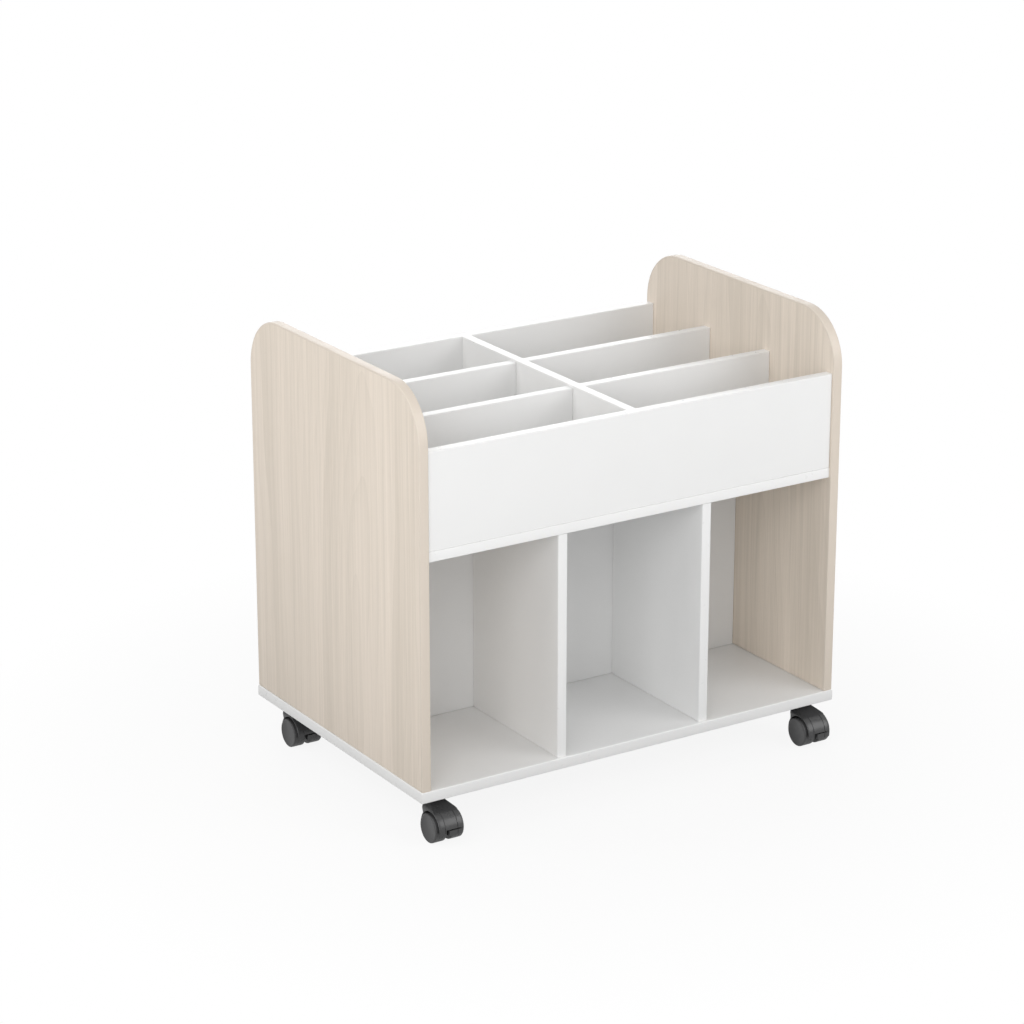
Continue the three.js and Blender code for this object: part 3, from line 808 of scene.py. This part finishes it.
def side_plate(name, place, outline, from_x, to_x, edge=0):
    """An outline in (y, z) about the axle, from one x to another, with softened edges where asked for."""
    levels = [(from_x, 0), (to_x, 0)]
    if edge:
        levels = [(from_x, edge), (from_x + edge, 0), (to_x - edge, 0), (to_x, edge)]
    loops = []
    for x, side in levels:
        loops.append([place.along_axle(point.x, point.y, x) for point in inset(outline, side)])
    return lofted_piece(name, loops, HOOD_SLOTS)


def rounded_rod(radius, low, high, edge):
    """The profile of a rod with rounded ends."""
    foot = [(0, low), (radius - edge, low), (radius, low + edge)]
    return foot + [(radius, high - edge), (radius - edge, high), (0, high)]


def smoothed(piece, name):
    """A joined piece, shaded smooth again."""
    piece.data.name = name
    shade_smooth(piece.data, SMOOTH_JOINED)
    return piece


def softened(points, reach):
    """A closed outline with each corner replaced by a curve that starts and ends a distance from it."""
    soft = []
    for i, corner in enumerate(points):
        start = corner + (points[i - 1] - corner).normalized() * reach
        end = corner + (points[(i + 1) % len(points)] - corner).normalized() * reach
        for step in range(ROUND_STEPS + 1):
            share = step / ROUND_STEPS
            soft.append(start.lerp(corner, share).lerp(corner.lerp(end, share), share))
    return soft


def saddle_piece(place):
    """The ramp from the round of the hood up to the boss, with shoulders that slope to the rims."""
    sizes = place.sizes
    slope, back = sizes.saddle_slope, sizes.saddle_back
    half = place.hood_half
    top = place.hood_top - place.axle.z
    foot = Vector((-place.outer * math.sin(slope), place.outer * math.cos(slope)))
    peak = Vector((foot.x + (top - foot.y) / math.tan(slope), top))
    heel = Vector((place.middle * math.cos(back), place.middle * math.sin(back)))
    outline = [Vector((0, 0)), heel, peak, foot]
    saddle = side_plate("saddle", place, outline, -2 * half, 2 * half)
    rim = place.outer - sizes.rim_fall
    ridge = sizes.saddle_top / 2
    corners = ((-half, 0), (half, 0), (half, rim), (ridge, top), (-ridge, top), (-half, rim))
    section = softened([Vector(corner) for corner in corners], sizes.saddle_round)
    trail = place.stem.y - place.axle.y
    loops = [[place.along_axle(y, point.y, point.x) for point in section] for y in (-place.outer, trail)]
    combine(saddle, lofted_piece("shoulders", loops, HOOD_SLOTS), "INTERSECT")
    return saddle


def hood_piece(name, place):
    """The hood: a shell with a notch for the pedal, a ramp, a boss and the web, joined."""
    sizes = place.sizes
    steps = sizes.turn_steps
    half = place.hood_half
    far = 2 * half
    front = place.front_angle(sizes.front_rise)
    skirt_front = place.front_angle(-sizes.skirt_dip)
    section = shell_section(place, -half, half, rim_profile(sizes), (sizes.groove_at, -sizes.groove_at))
    hood = swept_piece(name, place, section, 0, skirt_front)
    notch = rectangle((sizes.skirt_width - half, place.wheel_radius), (far, place.outer + sizes.wheel_gap))
    combine(hood, swept_piece("notch", place, notch, front, skirt_front + NOTCH_RUN), "DIFFERENCE")

    profile = rounded_rod(sizes.boss_radius, place.hood_foot, place.hood_top, 2 * sizes.edge)
    crown = turned_piece("boss", profile, place.along_stem, steps, "Hood nylon")
    combine(crown, saddle_piece(place), "UNION")
    profile = [(0, -far), (place.middle, -far), (place.middle, far), (0, far)]
    well = turned_piece("well", profile, place.along_axle, 2 * steps, "Hood nylon")
    combine(crown, well, "DIFFERENCE")

    set_back = place.inner - sizes.web_set_back
    back_drop = math.asin(sizes.web_drop / place.middle)
    front_drop = math.asin(sizes.web_drop / set_back)
    outline = arc((0, 0), place.middle, -back_drop, front, round(front / SWEEP_STEP))
    outline += arc((0, 0), set_back, front, math.pi + front_drop, ROUND_STEPS)
    web_half = sizes.web / 2
    web = side_plate("web", place, outline, -web_half, web_half, sizes.lip)
    for tool in (crown, web):
        combine(hood, tool, "UNION")
    return smoothed(hood, name)


def pedal_piece(name, place):
    """The brake pedal in front of the right wheel: a plate, its arm beside the web, and a pin."""
    sizes = place.sizes
    top = place.front_angle(sizes.front_rise - sizes.pedal_slot)
    toe = place.front_angle(-sizes.pedal_dip)
    section = shell_section(place, -sizes.pedal_left, place.hood_half, SQUARE_END, (sizes.groove_at,))
    pedal = swept_piece(name, place, section, top, toe)

    arm_from = sizes.web / 2 + sizes.pedal_gap
    arm_to = place.wheel_start - sizes.pedal_gap
    outline = [Vector((place.pivot.y, place.pivot.z + sizes.pedal_hub))]
    for turned in (top + sizes.pedal_margin, toe - sizes.pedal_margin):
        outline.append(Vector((place.middle * math.cos(turned), place.middle * math.sin(turned))))
    outline.append(Vector((place.pivot.y, place.pivot.z - sizes.pedal_hub)))
    arm = side_plate("arm", place, outline, arm_from, arm_to, sizes.lip)
    steps = sizes.turn_steps // 2
    profile = rounded_rod(sizes.pedal_hub, arm_from, arm_to, sizes.lip)
    hub = turned_piece("hub", profile, place.along_pivot, steps, "Hood nylon")
    pin_from = sizes.web / 2 - sizes.pin_length
    profile = rounded_rod(sizes.pin_radius, pin_from, arm_to - sizes.edge, sizes.lip)
    pin = turned_piece("pin", profile, place.along_pivot, steps, "Hood nylon")
    for tool in (arm, hub, pin):
        combine(pedal, tool, "UNION")
    return smoothed(pedal, name)


def wheel_piece(name, place, side):
    """One wheel: rounded tread with two fine lines, a dished face with a rim, and a blind bore."""
    sizes = place.sizes
    low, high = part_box(place.nodes[f"{side}_wheel"])
    width = high.x - low.x
    radius = place.wheel_radius
    edge = sizes.wheel_round
    small = edge / 2
    line = sizes.edge
    bore = sizes.wheel_bore
    bore_end = width - sizes.wheel_face
    profile = [(0, bore_end), (bore, bore_end), (bore, 0)]
    inner = arc((radius - small, small), small, -math.pi / 2, 0, ROUND_STEPS)
    profile += [(point.x, point.y) for point in inner]
    for share in TREAD_LINES:
        at = width * share
        profile += [(radius, at - line), (radius - line, at), (radius, at + line)]
    outer = arc((radius - edge, width - edge), edge, 0, math.pi / 2, 2 * ROUND_STEPS)
    profile += [(point.x, point.y) for point in outer]
    rim = radius - edge - sizes.wheel_rim
    dish = sizes.wheel_dish
    profile += [(rim, width), (rim - 2 * dish, width - dish), (0, width - dish)]
    if side == "left":
        start, sign = high.x - place.axle.x, -1
    else:
        start, sign = low.x - place.axle.x, 1

    def outwards(y, z, x):
        return place.along_axle(y, z, start + sign * x)

    return turned_piece(name, profile, outwards, sizes.turn_steps, "Wheel nylon")


def steel_piece(name, place, node):
    """A stem or an insert: the CAD piece's outline turned finely, with chamfers."""
    sizes = place.sizes
    low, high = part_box(node)
    chamfer = sizes.stem_chamfer
    rings = {}
    for vertex in frame["nodes"][node].data.vertices:
        away = (Vector((vertex.co.x, vertex.co.y)) - Vector((place.stem.x, place.stem.y))).length
        level = round(vertex.co.z, LEVEL_DIGITS)
        rings.setdefault(level, set()).add(round(away, RADIUS_DIGITS))
    levels = sorted(rings)
    profile = [(0, low.z)]
    for bottom, top in zip(levels, levels[1:]):
        radius = max(rings[bottom] & rings[top])
        profile += rounded_rod(radius, bottom, top, chamfer)[1:-1]
    profile.append((0, high.z))
    return turned_piece(name, profile, place.along_stem, sizes.turn_steps, "Zinc steel")


class BIN_OT_casters(bpy.types.Operator):
    """Make the four casters: hood, brake pedal, two wheels, stem and insert"""

    bl_idname = "browser_bin.casters"
    bl_label = "Casters"

    def execute(self, context):
        for corner in CORNERS:
            place = CasterPlace(corner)
            nodes = place.nodes
            hood = hood_piece(f"{corner}_hood", place)
            set_piece(hood, f"{corner}_swivel", "black_nylon", nodes["hood"])
            pedal = pedal_piece(f"{corner}_pedal", place)
            set_piece(pedal, f"{corner}_brake", "black_nylon", nodes["brake_pedal"])
            for side in ENDS:
                wheel = wheel_piece(f"{corner}_{side}_tread", place, side)
                set_piece(wheel, f"{corner}_{side}_wheel", "wheel_nylon", nodes[f"{side}_wheel"])
            for part in ("stem", "insert"):
                steel = steel_piece(f"{corner}_{part}", place, nodes[part])
                set_piece(steel, "cabinet", "zinc_steel", nodes[part])
        return {"FINISHED"}


# Repeated pieces


def socket_of(group, name):
    """The identifier of a geometry group's named input."""
    return next(item.identifier for item in group.interface.items_tree if item.name == name)


def screw_tree(values):
    """Countersunk screws with a hexagon socket at the corners of a rectangle, heads down."""
    group = bpy.data.node_groups.new("Base screws", "GeometryNodeTree")
    group.interface.new_socket("Geometry", in_out="OUTPUT", socket_type="NodeSocketGeometry")
    kinds = {"Place": "NodeSocketVector", "Material": "NodeSocketMaterial"}
    for name in values:
        kind = kinds.get(name, "NodeSocketFloat")
        group.interface.new_socket(name, in_out="INPUT", socket_type=kind)
    start = group.nodes.new("NodeGroupInput").outputs
    end = group.nodes.new("NodeGroupOutput")

    def made(kind, inputs, **settings):
        return add_node(group, kind, inputs, **settings).outputs[0]

    def moved(geometry, place):
        return made("GeometryNodeTransform", {"Geometry": geometry, "Translation": place})

    corners = {"Size X": start["Spread X"], "Size Y": start["Spread Y"], "Vertices X": 2, "Vertices Y": 2}
    grid = moved(made("GeometryNodeMeshGrid", corners), start["Place"])
    taper = {
        "Vertices": SCREW_SIDES,
        "Radius Bottom": start["Head radius"],
        "Radius Top": start["Shank radius"],
        "Depth": start["Head height"],
    }
    head = made("GeometryNodeMeshCone", taper)
    both_ways = math_node(group, "MULTIPLY", start["Socket depth"], 2.0)
    hexagon = {"Vertices": SOCKET_SIDES, "Radius": start["Socket radius"], "Depth": both_ways}
    socket = made("GeometryNodeMeshCylinder", hexagon)
    shank_length = math_node(group, "SUBTRACT", start["Length"], start["Head height"])
    rod = {"Vertices": SCREW_SIDES, "Radius": start["Shank radius"], "Depth": shank_length}
    half = math_node(group, "MULTIPLY", shank_length, 0.5)
    lift = math_node(group, "ADD", start["Head height"], half)
    shank = moved(made("GeometryNodeMeshCylinder", rod), made("ShaderNodeCombineXYZ", {2: lift}))
    solid = add_node(group, "GeometryNodeMeshBoolean", operation="UNION", solver="EXACT")
    for mesh in (shank, head):
        group.links.new(mesh, solid.inputs["Mesh 2"])
    meshes = {"Mesh 1": solid.outputs[0], "Mesh 2": socket}
    screw = made("GeometryNodeMeshBoolean", meshes, operation="DIFFERENCE", solver="EXACT")
    placed = made("GeometryNodeInstanceOnPoints", {"Points": grid, "Instance": screw})
    plain = made("GeometryNodeRealizeInstances", {0: placed})
    coated = made("GeometryNodeSetMaterial", {"Geometry": plain, "Material": start["Material"]})
    group.links.new(coated, end.inputs[0])
    return group


class BIN_OT_base_screws(bpy.types.Operator):
    """Make the screws that go up through the base into the end panels"""

    bl_idname = "browser_bin.base_screws"
    bl_label = "Base screws"

    def execute(self, context):
        sizes = context.scene.bin_screws
        nodes = [f"{corner}_base_screw" for corner in CORNERS]
        low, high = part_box(nodes[0])
        far_low, far_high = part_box(nodes[-1])
        first = (low + high) / 2
        last = (far_low + far_high) / 2
        values = {
            "Spread X": last.x - first.x,
            "Spread Y": last.y - first.y,
            "Head radius": sizes.head_radius,
            "Shank radius": sizes.shank_radius,
            "Head height": sizes.head_height,
            "Length": high.z - low.z,
            "Socket radius": sizes.socket_radius,
            "Socket depth": sizes.socket_depth,
            "Place": ((first.x + last.x) / 2, (first.y + last.y) / 2, low.z),
            "Material": finish_of("Zinc steel"),
        }
        piece = bpy.data.objects.new("base_screws", bpy.data.meshes.new("base_screws"))
        context.scene.collection.objects.link(piece)
        tree = screw_tree(values)
        modifier = piece.modifiers.new("Base screws", "NODES")
        modifier.node_group = tree
        for name, value in values.items():
            modifier[socket_of(tree, name)] = value
        piece.data = applied(piece)
        piece.data.name = "base_screws"
        set_piece(piece, "cabinet", "zinc_steel", *nodes)
        return {"FINISHED"}


class BIN_OT_hidden_fixings(bpy.types.Operator):
    """Give the dowels and the axles their finishes"""

    bl_idname = "browser_bin.hidden_fixings"
    bl_label = "Dowels and axles"

    def execute(self, context):
        for node, piece in frame["nodes"].items():
            for ending, finish in HIDDEN_FINISHES.items():
                if node.endswith(ending):
                    piece.data.materials.clear()
                    piece.data.materials.append(finish_of(finish))
        return {"FINISHED"}


# Stage


def seen_share(tree):
    """1 where a ray comes from the camera, straight or by way of gloss or glass."""
    path = add_node(tree, "ShaderNodeLightPath").outputs
    seen = math_node(tree, "MAXIMUM", path["Is Camera Ray"], path["Is Glossy Ray"])
    return math_node(tree, "MAXIMUM", seen, path["Is Transmission Ray"])


def floor_material(settings):
    """A white floor that keeps a faint shadow round the bin: plain white mixed with a lit grey. The grey it
    throws back onto the bin is painted shade, darker near the bin.
    """
    material = bpy.data.materials.new("Studio floor")
    material.use_nodes = True
    tree = material.node_tree
    tree.nodes.clear()
    seen = seen_share(tree)
    vector = add_node(tree, "ShaderNodeTexCoord").outputs["Object"]
    away = add_node(tree, "ShaderNodeVectorMath", {0: vector}, operation="LENGTH").outputs["Value"]
    white = remap(tree, away, settings.shadow_near, settings.shadow_far, settings.floor_white, 1.0)
    share = math_node(tree, "MULTIPLY", seen, white)
    # Painted shade: rays that are not seen take a grey that is darker near the bin, standing in for the
    # bin's shadow on the floor in the light the floor throws back.
    radii = (settings.bounce_start, settings.bounce_end)
    bounce = remap(tree, away, *radii, settings.bounce_near, settings.bounce_far)
    tone = remap(tree, seen, 0.0, 1.0, bounce, settings.floor_tone)
    lit = add_node(tree, "ShaderNodeBsdfDiffuse", {"Color": tone})
    plain = add_node(tree, "ShaderNodeEmission", {"Color": WHITE, "Strength": 1.0})
    mixed = add_node(tree, "ShaderNodeMixShader", {0: share, 1: lit.outputs[0], 2: plain.outputs[0]})
    add_node(tree, "ShaderNodeOutputMaterial", {"Surface": mixed.outputs[0]})
    return material


def add_sky(scene, settings):
    """Even light all round, and white where the camera sees it."""
    world = bpy.data.worlds.new("Studio")
    scene.world = world
    world.use_nodes = True
    tree = world.node_tree
    tree.nodes.clear()
    seen = seen_share(tree)
    level = remap(tree, seen, 0.0, 1.0, settings.sky, 1.0)
    sky = add_node(tree, "ShaderNodeBackground", {"Color": WHITE, "Strength": level})
    add_node(tree, "ShaderNodeOutputWorld", {"Surface": sky.outputs[0]})


def add_softbox(scene, name, place, side, power):
    """A square area lamp aimed at the bin."""
    lamp = bpy.data.lights.new(name, "AREA")
    lamp.shape = "SQUARE"
    lamp.size = side
    lamp.energy = power
    holder = bpy.data.objects.new(name, lamp)
    holder.location = place
    holder.rotation_euler = (Vector(AIM) - Vector(place)).to_track_quat("-Z", "Y").to_euler()
    scene.collection.objects.link(holder)


class BIN_OT_stage(bpy.types.Operator):
    """Make the floor, the sky, the soft lamps and the camera"""

    bl_idname = "browser_bin.stage"
    bl_label = "Stage"

    def execute(self, context):
        scene = context.scene
        settings = scene.bin_stage
        bm = bmesh.new()
        bmesh.ops.create_grid(bm, x_segments=1, y_segments=1, size=settings.floor_half)
        floor = mesh_piece("floor", bm, ())
        floor.data.materials.append(floor_material(settings))
        add_sky(scene, settings)
        for name, lamp in SOFTBOXES.items():
            add_softbox(scene, name, *lamp)
        camera = bpy.data.objects.new("Camera", bpy.data.cameras.new("Camera"))
        camera.data.lens = settings.lens
        camera.data.clip_end = CLIP_END
        camera.location = settings.camera_place
        camera.rotation_euler = Euler((math.pi / 2 - settings.camera_dip, 0.0, -settings.camera_turn))
        scene.collection.objects.link(camera)
        scene.camera = camera
        scene.view_settings.view_transform = "Standard"
        return {"FINISHED"}


OPERATORS = (
    BIN_OT_stage,
    BIN_OT_end_panels,
    BIN_OT_white_boards,
    BIN_OT_bin_dividers,
    BIN_OT_casters,
    BIN_OT_base_screws,
    BIN_OT_hidden_fixings,
)


class BIN_PT_panel(bpy.types.Panel):
    """Lists the browser bin's operators and settings"""

    bl_idname = "BIN_PT_panel"
    bl_label = "Browser bin"
    bl_space_type = "VIEW_3D"
    bl_region_type = "UI"
    bl_category = "Browser bin"

    def draw(self, context):
        for operator in OPERATORS:
            self.layout.operator(operator.bl_idname)
        for name, group in SETTINGS.items():
            box = self.layout.box()
            for key in group.__annotations__:
                box.prop(getattr(context.scene, name), key)


def register():
    for group in SETTINGS.values():
        bpy.utils.register_class(group)
    for name, group in SETTINGS.items():
        setattr(bpy.types.Scene, name, PointerProperty(type=group))
    for operator in OPERATORS:
        bpy.utils.register_class(operator)
    bpy.utils.register_class(BIN_PT_panel)


def unregister():
    bpy.utils.unregister_class(BIN_PT_panel)
    for operator in reversed(OPERATORS):
        bpy.utils.unregister_class(operator)
    for name in SETTINGS:
        delattr(bpy.types.Scene, name)
    for group in reversed(SETTINGS.values()):
        bpy.utils.unregister_class(group)


def main():
    register()
    for operator in OPERATORS:
        category, name = operator.bl_idname.split(".")
        getattr(getattr(bpy.ops, category), name)()


if __name__ == "__main__":
    main()
